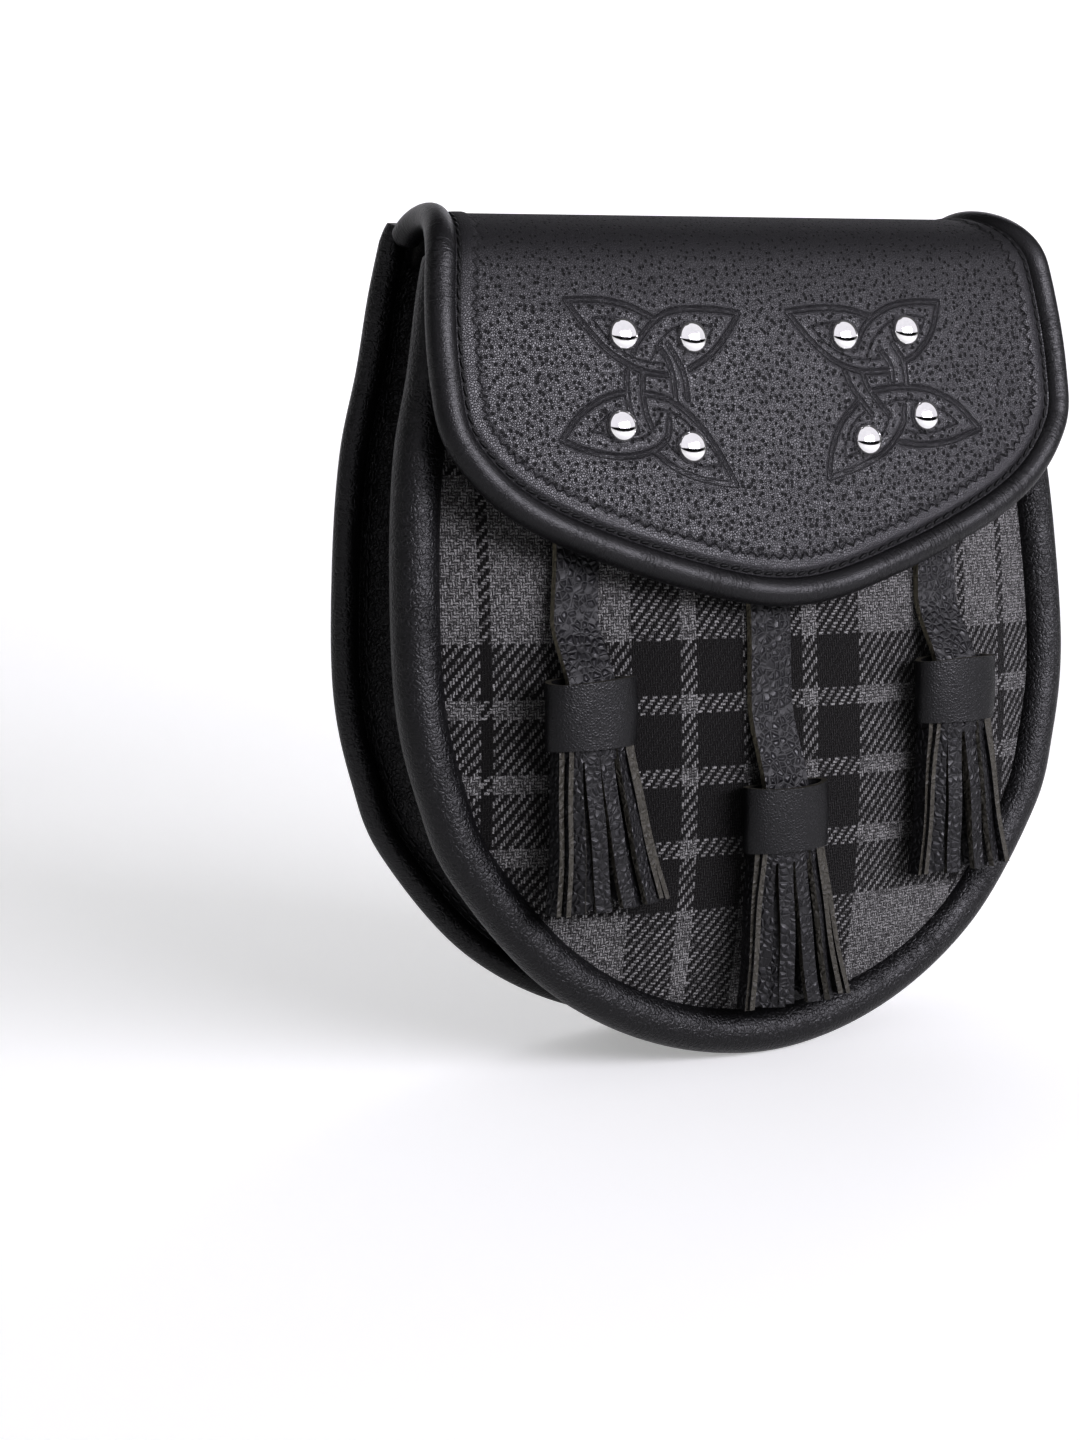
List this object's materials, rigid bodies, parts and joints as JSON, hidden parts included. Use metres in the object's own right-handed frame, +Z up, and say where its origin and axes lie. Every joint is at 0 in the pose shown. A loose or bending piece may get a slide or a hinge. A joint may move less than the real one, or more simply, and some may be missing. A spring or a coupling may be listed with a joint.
{
  "type": "sporran pouch",
  "caption": "Day sporran pouch in black leather with a tartan front, a rolled-over flap with embossed knots and dome studs, and hanging tassels",
  "frame": {"origin": "Middle of the back panel's rear face between the two belt loops: the point that the pouch hangs from when it is worn", "axes": "+X to the right seen from the front, +Y to the back, +Z up, upright as it is worn"},
  "size_m": [0.2064, 0.0738, 0.219],
  "materials": {
    "panel_leather": "soft pebbled black leather",
    "piping_leather": "smooth black piping leather, soft sheen",
    "flap_leather": "pitted grain black leather, embossed",
    "tassel_leather": "pebbled black leather with pale raw edges",
    "tartan_cloth": "grey and black twill tartan",
    "bright_metal": "polished nickel"
  },
  "bodies": {
    "root": {"back_panel": "panel_leather", "back_piping": "piping_leather", "front_piping": "piping_leather", "flap_piping": "piping_leather", "gusset": "panel_leather", "front_panel": "tartan_cloth", "flap": "flap_leather", "clasp": "bright_metal", "belt_loop_left": "panel_leather", "belt_loop_right": "panel_leather", "stud_left_1": "bright_metal", "stud_left_2": "bright_metal", "stud_left_3": "bright_metal", "stud_left_4": "bright_metal", "stud_right_1": "bright_metal", "stud_right_2": "bright_metal", "stud_right_3": "bright_metal", "stud_right_4": "bright_metal", "tassel_strap_left": "tassel_leather", "tassel_head_left": "tassel_leather", "tassel_fringe_left": "tassel_leather", "tassel_strap_middle": "tassel_leather", "tassel_head_middle": "tassel_leather", "tassel_fringe_middle": "tassel_leather", "tassel_strap_right": "tassel_leather", "tassel_head_right": "tassel_leather", "tassel_fringe_right": "tassel_leather"}
  },
  "joints": []
}
